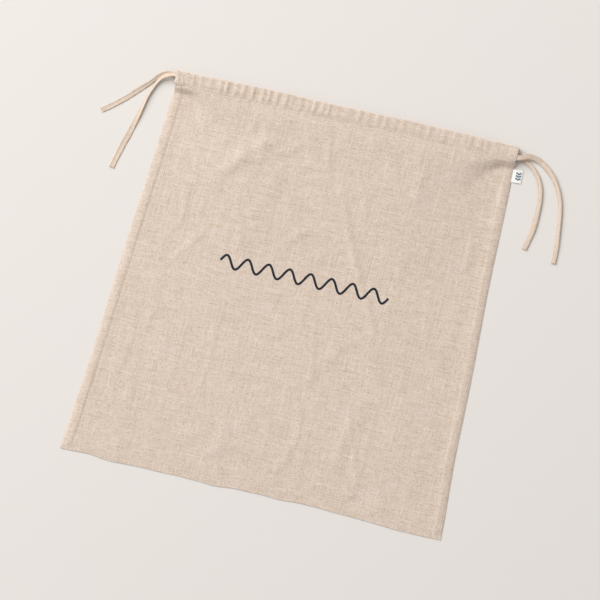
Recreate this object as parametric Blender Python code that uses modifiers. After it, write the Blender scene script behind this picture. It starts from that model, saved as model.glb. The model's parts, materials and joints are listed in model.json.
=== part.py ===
"""A drawstring laundry bag lying flat, with its mouth just open.

One cloth, folded at the bottom, makes the back and front layers. French seams close its sides, its
top edges are turned in as casings, and two drawstrings run through both casings from opposite ends.
Metres. X runs along the mouth, Y from the bottom fold to the mouth, Z up from the resting surface.
"""

import math

import bmesh
import bpy
from mathutils import Vector

MM = 0.001

# Cloth
BOTTOM_WIDTH = 500 * MM
TOP_WIDTH = 450 * MM
LENGTH = 506 * MM
CLOTH = 0.4 * MM
GAP = 0.3 * MM

# Casings
CASING_HEIGHT = 19 * MM
CASING_THICKNESS = 2.6 * MM
MOUTH_GAP = 4.6 * MM
STITCH_SLIT = 0.8 * MM
HEM_WIDTH = 9.6 * MM
THREAD_RADIUS = 0.15 * MM

# Drawstring tape
TAPE_WIDTH = 7.0 * MM
TAPE_THICKNESS = 1.2 * MM
TURN_RADIUS = 1.1 * MM
TAIL_START = 4.6 * MM
TAIL_STEP = 7.5 * MM

# Side seams
ALLOWANCE_START = 3.0 * MM
ALLOWANCE_END = 13.0 * MM
ALLOWANCE_THICKNESS = 0.6 * MM
SEAM_THREAD_INSET = 0.8 * MM

# Height of the front layer's middle surface, by the distance from a side and from the bottom fold
SIDE_PROFILE = [(0, 1.2), (2, 1.7), (7, 2.5), (14, 3.1), (22, 4.3), (33, 6.4), (46, 7.6)]
BOTTOM_PROFILE = [(0, 1.2), (3, 1.7), (8, 2.9), (15, 4.6), (24, 6.4), (38, 7.6)]
MIDDLE_COLUMNS = 4
MIDDLE_ROWS = 6

# Side label and print
LABEL_SIZE = (12.5 * MM, 17.0 * MM, 0.6 * MM)
LABEL_CENTRE_Y = 217.0 * MM
LABEL_AXIS_Z = 0.75 * MM
LABEL_MARK_SIZE = (9.0 * MM, 10.6 * MM, 0.2 * MM)
PRINT_LENGTH = 224 * MM
PRINT_HEIGHT = 19 * MM
PRINT_STROKE = 3 * MM
PRINT_THICKNESS = 0.2 * MM
PRINT_Y = 28 * MM
PRINT_WAVES = 8

# Levels that follow from the sizes above
TOP = LENGTH / 2
CASING_FOOT = TOP - CASING_HEIGHT
STITCH_LOW = CASING_FOOT - STITCH_SLIT / 2
STITCH_HIGH = CASING_FOOT + STITCH_SLIT / 2
FRONT_CASING_Z = CASING_THICKNESS + MOUTH_GAP
HEIGHT = FRONT_CASING_Z + CASING_THICKNESS
BACK_STRING_Z = CLOTH + GAP + TAPE_THICKNESS / 2
FRONT_STRING_Z = FRONT_CASING_Z + BACK_STRING_Z
UPPER_STRING_Y = TOP - 1.8 * MM - TAPE_WIDTH / 2
LOWER_STRING_Y = UPPER_STRING_Y - TAPE_WIDTH - 0.5 * MM
CASING_END = TOP_WIDTH / 2
HEM_START = CASING_END - HEM_WIDTH

# Routes of the loose tape ends, in millimetres, from just inside the casing's end to the cut end
TAIL_ROUTES = {
    "left_back_tail": [
        (-221, 247.7, 1.3), (-226, 247.7, 1.3), (-231, 247.9, 1.1), (-238, 246.4, 0.8),
        (-245.3, 241.7, 0.65), (-252.6, 233, 0.65), (-261.4, 223.4, 0.65), (-270.4, 214.2, 0.65),
        (-279.4, 204.9, 0.65), (-290.1, 195.2, 0.65), (-299.4, 187.3, 0.65), (-305.7, 182.6, 0.65),
    ],
    "left_front_tail": [
        (-221, 247.7, 8.5), (-226, 247.7, 8.5), (-231.5, 246.4, 7.4), (-238.1, 243, 5.4),
        (-244.1, 236.9, 3.4), (-248.7, 226.2, 1.9), (-252.5, 214.9, 0.75), (-255.3, 202.8, 0.65),
        (-258.3, 188.8, 0.65), (-261.8, 172.7, 0.65), (-264.9, 158.6, 0.65), (-268.4, 146.3, 0.65),
        (-271, 134.3, 0.65), (-273.8, 123.1, 0.65), (-275.5, 113.2, 0.65),
    ],
    "right_front_tail": [
        (221, 240.2, 8.5), (228, 240.2, 8.4), (233, 241.9, 7.6), (239, 244.6, 6.0),
        (248.4, 244.4, 3.6), (258.3, 240.6, 1.7), (267.3, 234.9, 0.8), (275.8, 227.4, 0.65),
        (282.7, 218.6, 0.65), (288.7, 208.7, 0.65), (293.2, 198.4, 0.65), (296.9, 186.1, 0.65),
        (299.4, 171.7, 0.65), (301.6, 157.2, 0.65), (303.5, 142.5, 0.65), (304.5, 127.7, 0.65),
        (304.9, 119.4, 0.65),
    ],
    "right_back_tail": [
        (221, 240.2, 1.3), (226, 240.2, 1.3), (231, 240, 1.1), (237.2, 238.4, 0.8),
        (244.8, 234.5, 0.65), (251.9, 228.6, 0.65), (258.7, 220.7, 0.65), (264.1, 210.6, 0.65),
        (267.1, 200, 0.65), (268.7, 187.2, 0.65), (269.1, 176.1, 0.65), (269.2, 164.8, 0.65),
        (268.7, 153.4, 0.65), (266.6, 141.6, 0.65), (264.3, 128.9, 0.65),
    ],
}

PARTS_NAME = "laundry_bag"
LINEN = (0.68, 0.59, 0.50)
TAPE = (0.74, 0.64, 0.52)
THREAD = (0.78, 0.70, 0.60)
LABEL = (0.88, 0.88, 0.86)
PRINT_INK = (0.012, 0.016, 0.026)
MARK_INK = (0.08, 0.13, 0.21)


def clear_scene():
    for obj in list(bpy.data.objects):
        bpy.data.objects.remove(obj, do_unlink=True)


def make_collection(name, helpers=False):
    collection = bpy.data.collections.new(name)
    bpy.context.scene.collection.children.link(collection)
    collection.hide_render = helpers
    return collection


def make_material(name, colour, roughness=0.9):
    material = bpy.data.materials.new(name)
    material.use_nodes = True
    shader = material.node_tree.nodes["Principled BSDF"]
    shader.inputs["Base Color"].default_value = (*colour, 1)
    shader.inputs["Roughness"].default_value = roughness
    shader.inputs["Metallic"].default_value = 0
    return material


def add_object(name, data, colour, roughness=0.9):
    """A new part with its own material."""
    obj = bpy.data.objects.new(name, data)
    data.materials.append(make_material(name, colour, roughness))
    parts.objects.link(obj)
    return obj


def half_width(y):
    """Half the body's width at a height along the bag."""
    share = (y + TOP) / LENGTH
    return (BOTTOM_WIDTH * (1 - share) + TOP_WIDTH * share) / 2


def arc(centre, radius, start, end, steps):
    """Points on an arc, with its angles in degrees."""
    points = []
    for step in range(steps + 1):
        angle = math.radians(start + (end - start) * step / steps)
        points.append((centre[0] + radius * math.cos(angle), centre[1] + radius * math.sin(angle)))
    return points


def band_outline(path, thickness):
    """The closed outline of a band whose middle line is an open path."""
    sides = ([], [])
    for index, point in enumerate(path):
        before = Vector(path[max(index - 1, 0)])
        after = Vector(path[min(index + 1, len(path) - 1)])
        here = Vector(point)
        normals = []
        for a, b in ((before, here), (here, after)):
            if (b - a).length > 0:
                along = (b - a).normalized()
                normals.append(Vector((-along.y, along.x)))
        normal = sum(normals, Vector((0, 0))).normalized()
        reach = thickness / 2 / normal.dot(normals[0])
        sides[0].append(here + normal * reach)
        sides[1].append(here - normal * reach)
    return [tuple(point) for point in sides[0] + sides[1][::-1]]


def extruded(name, outlines, depth, colour, location=(0, 0, 0), rotation=(0, 0, 0)):
    """A flat outline, with any holes, given a depth along its own Z."""
    curve = bpy.data.curves.new(name, "CURVE")
    curve.dimensions = "2D"
    curve.fill_mode = "BOTH"
    curve.extrude = depth / 2
    for outline in outlines:
        spline = curve.splines.new("POLY")
        spline.points.add(len(outline) - 1)
        for point, (x, y) in zip(spline.points, outline):
            point.co = (x, y, 0, 1)
        spline.use_cyclic_u = True
    obj = add_object(name, curve, colour)
    obj.location = location
    obj.rotation_euler = rotation
    return obj


def along_x(name, outlines, start, end, colour):
    """An outline in the YZ plane, extruded along X."""
    middle = ((start + end) / 2, 0, 0)
    return extruded(name, outlines, end - start, colour, middle, (math.pi / 2, 0, math.pi / 2))


def rectangle(low, high):
    return [(low[0], low[1]), (high[0], low[1]), (high[0], high[1]), (low[0], high[1])]


def thread(name, points):
    """One row of stitching, as a plain thread."""
    curve = bpy.data.curves.new(name, "CURVE")
    curve.dimensions = "3D"
    curve.bevel_depth = THREAD_RADIUS
    curve.bevel_resolution = 1
    curve.use_fill_caps = True
    spline = curve.splines.new("POLY")
    spline.points.add(len(points) - 1)
    for point, place in zip(spline.points, points):
        point.co = (*place, 1)
    return add_object(name, curve, THREAD)


def profile_height(profile, distance):
    """The height that a profile gives at a distance, straight between its points."""
    for (d0, z0), (d1, z1) in zip(profile, profile[1:]):
        if distance <= d1 * MM:
            return (z0 + (z1 - z0) * (distance / MM - d0) / (d1 - d0)) * MM
    return profile[-1][1] * MM


def front_panel():
    """The upper layer: low along the side seams and the fold, and raised over the bag's inside."""
    side_steps = [distance * MM for distance, _ in SIDE_PROFILE]
    columns = [("side", -1, distance) for distance in side_steps]
    columns += [("middle", 2 * k / MIDDLE_COLUMNS - 1, 0) for k in range(1, MIDDLE_COLUMNS)]
    columns += [("side", 1, distance) for distance in reversed(side_steps)]
    low = -TOP + CLOTH + 2 * GAP
    rows = [low + distance * MM for distance, _ in BOTTOM_PROFILE]
    top_rows = STITCH_LOW - rows[-1]
    rows += [rows[-1] + top_rows * k / MIDDLE_ROWS for k in range(1, MIDDLE_ROWS + 1)]

    grid = bmesh.new()
    bmesh.ops.create_grid(grid, x_segments=len(columns) - 1, y_segments=len(rows) - 1, size=1)
    for vertex in grid.verts:
        column = columns[round((vertex.co.x + 1) / 2 * (len(columns) - 1))]
        y = rows[round((vertex.co.y + 1) / 2 * (len(rows) - 1))]
        kind, place, distance = column
        edge = half_width(y)
        x = place * (edge - (distance if kind == "side" else side_steps[-1]))
        side_height = profile_height(SIDE_PROFILE, edge - abs(x))
        vertex.co = (x, y, min(side_height, profile_height(BOTTOM_PROFILE, y - low)))
    mesh = bpy.data.meshes.new("front_panel")
    grid.to_mesh(mesh)
    grid.free()
    panel = add_object("front_panel", mesh, LINEN)
    solidify = panel.modifiers.new("cloth", "SOLIDIFY")
    solidify.thickness = CLOTH
    solidify.offset = 0
    solidify.use_even_offset = True


def back_panel():
    """The lower layer, flat on the surface that the bag lies on."""
    low = -TOP + CLOTH + 2 * GAP
    outline = [
        (-half_width(low), low),
        (half_width(low), low),
        (half_width(STITCH_LOW), STITCH_LOW),
        (-half_width(STITCH_LOW), STITCH_LOW),
    ]
    extruded("back_panel", [outline], CLOTH, LINEN, (0, 0, CLOTH / 2))


def bottom_fold():
    """The turn of the cloth that joins the two layers at the bottom."""
    radius = (SIDE_PROFILE[0][1] * MM - CLOTH / 2) / 2
    centre = (-TOP + radius + CLOTH / 2, radius + CLOTH / 2)
    path = arc(centre, radius, 90, 270, 8)
    end = half_width(-TOP) - GAP
    along_x("bottom_fold", [band_outline(path, CLOTH)], -end, end, LINEN)


def side_seam(side, sign):
    """The French seam's allowance, lying inside the bag along one side, and its thread at the edge."""
    low = -TOP + ALLOWANCE_START + CLOTH + 2 * GAP
    high = STITCH_LOW - GAP
    outline = [
        (sign * (half_width(low) - ALLOWANCE_START), low),
        (sign * (half_width(low) - ALLOWANCE_END), low),
        (sign * (half_width(high) - ALLOWANCE_END), high),
        (sign * (half_width(high) - ALLOWANCE_START), high),
    ]
    level = CLOTH + GAP / 2 + ALLOWANCE_THICKNESS / 2
    extruded(f"{side}_side_seam", [outline], ALLOWANCE_THICKNESS, LINEN, (0, 0, level))
    ends = []
    for y in (low, high):
        ends.append((sign * (half_width(y) - SEAM_THREAD_INSET), y, CLOTH + GAP))
    thread(f"{side}_seam_stitching", ends)


def casing(name, level):
    """One tunnel of the mouth: the panel's own ply and the ply turned in behind it, open at both ends."""
    flat_z = level + CLOTH / 2
    crown = CASING_THICKNESS - CLOTH
    rise = [
        (STITCH_HIGH + 0.1 * MM, 0.7 * MM),
        (STITCH_HIGH + 0.9 * MM, crown - 0.4 * MM),
        (STITCH_HIGH + 2.0 * MM, crown),
        (TOP - 1.6 * MM, crown),
        (TOP - 0.8 * MM, crown - 0.3 * MM),
        (TOP - 0.35 * MM, crown - 0.8 * MM),
        (TOP - CLOTH / 2, crown - 1.5 * MM),
    ]
    arched = [(y, flat_z + z) for y, z in rise]
    end = HEM_START - STITCH_SLIT
    flat = rectangle((STITCH_HIGH, flat_z - CLOTH / 2), (TOP - 0.2 * MM, flat_z + CLOTH / 2))
    panel_ply, turned_ply = f"{name}_casing_outer_ply", f"{name}_casing_turned_ply"
    arched_name, flat_name = (panel_ply, turned_ply) if name == "front" else (turned_ply, panel_ply)
    along_x(arched_name, [band_outline(arched, CLOTH)], -end, end, LINEN)
    along_x(flat_name, [flat], -end, end, LINEN)
    stitch_z = level + (CLOTH + 0.3 * MM if name == "front" else 0.3 * MM)
    thread(f"{name}_casing_stitching", [(-end, CASING_FOOT, stitch_z), (end, CASING_FOOT, stitch_z)])


def hem_outline(low, high, inset):
    """A flattened ring's outline, in from the hem's outer face by an inset."""
    radius = (high - low) / 2 - inset
    middle = (low + high) / 2
    left = STITCH_LOW + radius + inset
    right = TOP - radius - inset
    return arc((right, middle), radius, -90, 90, 6) + arc((left, middle), radius, 90, 270, 6)


def casing_hems(side, sign):
    """The turned end of each casing, a short cloth mouth that the tapes come out of, and its thread."""
    split = HEIGHT / 2
    levels = {"back": (0, split - GAP / 2), "front": (split + GAP / 2, HEIGHT)}
    for name, (low, high) in levels.items():
        outlines = [hem_outline(low, high, 0), hem_outline(low, high, CLOTH)]
        start, end = sorted((sign * HEM_START, sign * CASING_END))
        along_x(f"{side}_{name}_hem", outlines, start, end, LINEN)
        x = sign * (HEM_START - STITCH_SLIT / 2)
        z = high - THREAD_RADIUS if name == "front" else THREAD_RADIUS
        span = [(x, STITCH_HIGH + GAP, z), (x, TOP - CLOTH, z)]
        thread(f"{side}_{name}_hem_stitching", span)


def drawstring(side, sign, y):
    """One tape in both casings: out along the front, down round the far casing's end, and back."""
    start = sign * (CASING_END - TAIL_START - GAP)
    far = CASING_END + GAP + TAPE_THICKNESS / 2
    turn = far - TURN_RADIUS
    path = [(start, FRONT_STRING_Z)]
    corners = [(FRONT_STRING_Z - TURN_RADIUS, 90, 0), (BACK_STRING_Z + TURN_RADIUS, 0, -90)]
    for z, begin, finish in corners:
        for x_out, z_out in arc((turn, z), TURN_RADIUS, begin, finish, 5):
            path.append((-sign * x_out, z_out))
    path.append((start, BACK_STRING_Z))
    outline = band_outline(path, TAPE_THICKNESS)
    extruded(f"{side}_drawstring", [outline], TAPE_WIDTH, TAPE, (0, y, 0), (math.pi / 2, 0, 0))


def smooth_route(points, step):
    """Points a step apart on a smooth curve through the route's own points."""
    ends = [points[0] * 2 - points[1]] + points + [points[-1] * 2 - points[-2]]
    fine = []
    for p0, p1, p2, p3 in zip(ends, ends[1:], ends[2:], ends[3:]):
        for k in range(20):
            t = k / 20
            fine.append(
                p1
                + (p2 - p0) * (t / 2)
                + (p0 * 2 - p1 * 5 + p2 * 4 - p3) * (t * t / 2)
                + (p1 * 3 - p0 - p2 * 3 + p3) * (t * t * t / 2)
            )
    fine.append(points[-1])
    lengths = [0.0]
    for a, b in zip(fine, fine[1:]):
        lengths.append(lengths[-1] + (b - a).length)
    count = max(2, round(lengths[-1] / step))
    route = []
    for k in range(count + 1):
        wanted = lengths[-1] * k / count
        index = min(sum(length < wanted for length in lengths[1:]), len(fine) - 2)
        share = (wanted - lengths[index]) / (lengths[index + 1] - lengths[index])
        route.append(fine[index].lerp(fine[index + 1], share))
    return route


def tape_section():
    """The tape's cross-section, which the tails are drawn out with."""
    curve = bpy.data.curves.new("tape_section", "CURVE")
    curve.dimensions = "2D"
    curve.fill_mode = "NONE"
    spline = curve.splines.new("POLY")
    corners = rectangle(
        (-TAPE_WIDTH / 2, -TAPE_THICKNESS / 2), (TAPE_WIDTH / 2, TAPE_THICKNESS / 2)
    )
    spline.points.add(len(corners) - 1)
    for point, (x, y) in zip(spline.points, reversed(corners)):
        point.co = (x, y, 0, 1)
    spline.use_cyclic_u = True
    section = bpy.data.objects.new("tape_section", curve)
    section.hide_render = True
    section.display_type = "WIRE"
    helpers.objects.link(section)
    return section


def tail(name, route, section):
    """A loose end of tape, from the casing's end down onto the surface."""
    curve = bpy.data.curves.new(name, "CURVE")
    curve.dimensions = "3D"
    curve.twist_mode = "Z_UP"
    curve.bevel_mode = "OBJECT"
    curve.bevel_object = section
    curve.use_fill_caps = True
    points = smooth_route([Vector(point) * MM for point in route], TAIL_STEP)
    spline = curve.splines.new("POLY")
    spline.points.add(len(points) - 1)
    for point, place in zip(spline.points, points):
        point.co = (*place, 1)
    add_object(name, curve, TAPE)


def side_label():
    """The folded label sewn into the right side seam. It turns on the line where the seam holds it."""
    tilt = math.atan((BOTTOM_WIDTH - TOP_WIDTH) / 2 / LENGTH)
    axis = bpy.data.objects.new("label_axis", None)
    axis.location = (half_width(LABEL_CENTRE_Y) + GAP, LABEL_CENTRE_Y, LABEL_AXIS_Z)
    axis.rotation_euler = (0, 0, tilt)
    parts.objects.link(axis)
    length, width, thickness = LABEL_SIZE
    outline = rectangle((GAP, -width / 2), (length, width / 2))
    label = extruded("side_label", [outline], thickness, LABEL)
    label.parent = axis
    mark_length, mark_width, mark_thickness = LABEL_MARK_SIZE
    centre = (length + GAP) / 2
    low = (centre - mark_length / 2, -mark_width / 2)
    high = (centre + mark_length / 2, mark_width / 2)
    lift = thickness / 2 + GAP / 2 + mark_thickness / 2
    mark = extruded("label_mark", [rectangle(low, high)], mark_thickness, MARK_INK, (0, 0, lift))
    mark.parent = axis


def front_print():
    """A plain printed wave across the front."""
    amplitude = (PRINT_HEIGHT - PRINT_STROKE) / 2
    steps = PRINT_WAVES * 12
    path = []
    for step in range(steps + 1):
        share = step / steps
        swing = amplitude * math.sin(2 * math.pi * PRINT_WAVES * share)
        path.append(((share - 0.5) * (PRINT_LENGTH - PRINT_STROKE), swing))
    level = SIDE_PROFILE[-1][1] * MM + CLOTH / 2 + GAP / 2 + PRINT_THICKNESS / 2
    outline = band_outline(path, PRINT_STROKE)
    extruded("front_print", [outline], PRINT_THICKNESS, PRINT_INK, (0, PRINT_Y, level))


clear_scene()
parts = make_collection(PARTS_NAME)
helpers = make_collection("helpers", helpers=True)

front_panel()
back_panel()
bottom_fold()
casing("front", FRONT_CASING_Z)
casing("back", 0)
for side_name, side_sign, string_y in (("left", -1, UPPER_STRING_Y), ("right", 1, LOWER_STRING_Y)):
    side_seam(side_name, side_sign)
    casing_hems(side_name, side_sign)
    drawstring(side_name, side_sign, string_y)
tape = tape_section()
for tail_name, tail_route in TAIL_ROUTES.items():
    tail(tail_name, tail_route, tape)
side_label()
front_print()
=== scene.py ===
"""The looks of a drawstring laundry bag of linen-like cloth, lying flat with its front up.

Metres, in the CAD model's frame: X runs along the mouth, Y from the bottom fold to the mouth, and Z up
from the floor. Every piece is a grid of points worked out here. Its UV map holds metres along and
across the cloth's threads, and the woven materials follow that map, so they move with the cloth.
"""

import json
import math

import bpy
import numpy as np
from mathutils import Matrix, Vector


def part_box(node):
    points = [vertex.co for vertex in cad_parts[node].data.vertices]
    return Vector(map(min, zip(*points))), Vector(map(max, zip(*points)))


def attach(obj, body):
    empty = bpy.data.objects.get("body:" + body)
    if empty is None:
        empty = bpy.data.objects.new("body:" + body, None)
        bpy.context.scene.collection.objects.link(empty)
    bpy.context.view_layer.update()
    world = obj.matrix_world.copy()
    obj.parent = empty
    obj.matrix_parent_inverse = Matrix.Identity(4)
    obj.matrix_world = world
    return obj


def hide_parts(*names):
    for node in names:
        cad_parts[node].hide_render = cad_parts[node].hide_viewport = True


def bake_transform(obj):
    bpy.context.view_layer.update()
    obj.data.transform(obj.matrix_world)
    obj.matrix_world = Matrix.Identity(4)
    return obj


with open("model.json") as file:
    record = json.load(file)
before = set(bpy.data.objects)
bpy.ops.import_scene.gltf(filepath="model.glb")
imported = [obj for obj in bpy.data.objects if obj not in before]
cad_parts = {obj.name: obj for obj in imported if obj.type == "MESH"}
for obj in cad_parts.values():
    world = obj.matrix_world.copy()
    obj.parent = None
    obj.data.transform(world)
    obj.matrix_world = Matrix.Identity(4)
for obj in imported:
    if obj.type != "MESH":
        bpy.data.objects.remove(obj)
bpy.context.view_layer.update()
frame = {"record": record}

MM = 0.001

# The bag, from the CAD model, and the seam allowance that its cloth was cut with
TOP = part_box("left_front_hem")[1].y
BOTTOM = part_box("bottom_fold")[0].y
CASING_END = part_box("right_front_hem")[1].x
HALF_TOP = CASING_END
HALF_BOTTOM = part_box("back_panel")[1].x
CASING_FOOT = sum(corner.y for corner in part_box("front_casing_stitching")) / 2
CLOTH = 0.4 * MM
STRING_FRONT_Z = 8.5 * MM
STRING_BACK_Z = 1.3 * MM
STRING_Y = {"left": 247.7 * MM, "right": 240.2 * MM}
SIDES = {"left": -1, "right": 1}

# The tapes
TAPE_WIDTH = 7.4 * MM
TAPE_THICKNESS = 0.85 * MM
ROLLED = 1.1
TAIL_DROP = 0.15 * MM
TURN_RADIUS = 1.1 * MM
RUN_DROP = 0.35 * MM
RUN_WIDTH = 0.93
TAIL_START = 220.6 * MM
TAIL_STEP = 1.2 * MM
FRAYED_FIBRES = 26
THREAD_TIP = 0.45

# Routes of the loose tape ends, in millimetres: the CAD model's own
TAIL_ROUTES = {
    "left_back_tail": [
        (-221, 247.7, 1.3), (-226, 247.7, 1.3), (-231, 247.9, 1.1), (-238, 246.4, 0.8),
        (-245.3, 241.7, 0.65), (-252.6, 233, 0.65), (-261.4, 223.4, 0.65), (-270.4, 214.2, 0.65),
        (-279.4, 204.9, 0.65), (-290.1, 195.2, 0.65), (-299.4, 187.3, 0.65), (-305.7, 182.6, 0.65),
    ],
    "left_front_tail": [
        (-221, 247.7, 8.5), (-226, 247.7, 8.5), (-231.5, 246.4, 7.4), (-238.1, 243, 5.4),
        (-244.1, 236.9, 3.4), (-248.7, 226.2, 1.9), (-252.5, 214.9, 0.75), (-255.3, 202.8, 0.65),
        (-258.3, 188.8, 0.65), (-261.8, 172.7, 0.65), (-264.9, 158.6, 0.65), (-268.4, 146.3, 0.65),
        (-271, 134.3, 0.65), (-273.8, 123.1, 0.65), (-275.5, 113.2, 0.65),
    ],
    "right_front_tail": [
        (221, 240.2, 8.5), (228, 240.2, 8.4), (233, 241.9, 7.6), (239, 244.6, 6.0),
        (248.4, 244.4, 3.6), (258.3, 240.6, 1.7), (267.3, 234.9, 0.8), (275.8, 227.4, 0.65),
        (282.7, 218.6, 0.65), (288.7, 208.7, 0.65), (293.2, 198.4, 0.65), (296.9, 186.1, 0.65),
        (299.4, 171.7, 0.65), (301.6, 157.2, 0.65), (303.5, 142.5, 0.65), (304.5, 127.7, 0.65),
        (304.9, 119.4, 0.65),
    ],
    "right_back_tail": [
        (221, 240.2, 1.3), (226, 240.2, 1.3), (231, 240, 1.1), (237.2, 238.4, 0.8),
        (244.8, 234.5, 0.65), (251.9, 228.6, 0.65), (258.7, 220.7, 0.65), (264.1, 210.6, 0.65),
        (267.1, 200, 0.65), (268.7, 187.2, 0.65), (269.1, 176.1, 0.65), (269.2, 164.8, 0.65),
        (268.7, 153.4, 0.65), (266.6, 141.6, 0.65), (264.3, 128.9, 0.65),
    ],
}
# Along each loose end, by share of its length: its width against the whole tape, its roll in degrees,
# and how round its section is, from 0, flat with raised edges, to 1
TAIL_SHAPES = {
    "left_back_tail": [
        (0, 0.9, 0, 0.3), (0.3, 0.66, 24, 0.3), (0.5, 0.8, 10, 0), (0.75, 0.88, 4, 0), (1, 0.84, 0, 0),
    ],
    "left_front_tail": [
        (0, 0.9, 0, 0.2), (0.12, 0.8, -16, 0.2), (0.22, 0.6, -42, 0.3), (0.36, 0.52, -48, 0.3),
        (0.5, 0.76, -18, 0.1), (0.7, 0.98, 6, 0), (0.88, 0.95, 0, 0), (1, 0.86, 0, 0),
    ],
    "right_front_tail": [
        (0, 0.9, 0, 0.5), (0.15, 1.0, -6, 0.7), (0.3, 0.92, -12, 0.8), (0.45, 0.78, -18, 0.9),
        (0.6, 0.64, -20, 1), (0.75, 0.64, -18, 1), (0.9, 0.8, -8, 0.8), (1, 0.86, 0, 0.7),
    ],
    "right_back_tail": [
        (0, 0.8, 0, 0.6), (0.15, 0.76, -8, 0.9), (0.3, 0.74, -12, 1), (0.55, 0.84, -8, 1),
        (0.78, 0.92, -4, 0.9), (1, 0.86, 0, 0.7),
    ],
}

# The camera, straight above, with the bag turned in its view
VIEW_TURN = math.radians(12.717)
VIEW_WIDTH = 771 * MM
VIEW_CENTRE = (-4.63 * MM, 1.94 * MM)
CAMERA_HEIGHT = 2.4
SENSOR_WIDTH = 36

# How the bag lies out of square: it leans to the left below the label, and its right side is the longer.
# The mouth stays straight along X, the way that the strings move.
LEAN = 0.0281
LEAN_START = 217 * MM
BOTTOM_SLOPE = -0.0071
LENGTHENING = 0.0285

LINEN = (0.740, 0.634, 0.561)
DARK_THREAD = (0.52, 0.405, 0.31)
PALE_THREAD = (0.88, 0.80, 0.72)
TAPE = (0.735, 0.632, 0.55)
TAPE_EDGE = (0.57, 0.37, 0.20)
THREAD_END = (0.32, 0.17, 0.09)
THREAD = (0.92, 0.83, 0.68)
LABEL = (0.87, 0.87, 0.85)
PRINT_INK = (0.012, 0.016, 0.026)
MARK_INK = (0.07, 0.12, 0.20)
FLOOR = (0.728, 0.702, 0.678)
FLOOR_HALF = 3.0
FLOOR_Z = -0.03 * MM


# ---------------------------------------------------------------- camera and light

def put(name, data, place):
    """A camera or light at a place given along the picture's right and up, and in height."""
    cos, sin = math.cos(VIEW_TURN), math.sin(VIEW_TURN)
    item = bpy.data.objects.new(name, data)
    item.location = Vector((cos, sin, 0)) * place[0] + Vector((-sin, cos, 0)) * place[1]
    item.location.z = place[2]
    bpy.context.scene.collection.objects.link(item)
    return item


def make_camera():
    data = bpy.data.cameras.new("camera")
    data.sensor_width = SENSOR_WIDTH
    data.lens = SENSOR_WIDTH * CAMERA_HEIGHT / VIEW_WIDTH
    camera = put("camera", data, (*VIEW_CENTRE, CAMERA_HEIGHT))
    camera.rotation_euler = (0, 0, VIEW_TURN)
    bpy.context.scene.camera = camera


def area_light(name, place, size, power, colour):
    """A soft square light at a place, facing the middle of the bag."""
    data = bpy.data.lights.new(name, "AREA")
    data.size = size
    data.energy = power
    data.color = colour
    light = put(name, data, place)
    light.rotation_euler = (-light.location).to_track_quat("-Z", "Y").to_euler()


def make_light():
    area_light("key_light", (-3.36, 3.52, 4.0), 5.1, 482, (1.0, 0.99, 0.98))
    area_light("fill_light", (2.4, -1.8, 3.9), 3.6, 9, (1.0, 0.965, 0.93))
    world = bpy.data.worlds.new("studio")
    world.use_nodes = True
    background = world.node_tree.nodes["Background"]
    background.inputs["Color"].default_value = (1.0, 0.975, 0.945, 1)
    background.inputs["Strength"].default_value = 0.45
    bpy.context.scene.world = world
    bpy.context.scene.view_settings.view_transform = "Standard"


# ---------------------------------------------------------------- materials

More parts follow.
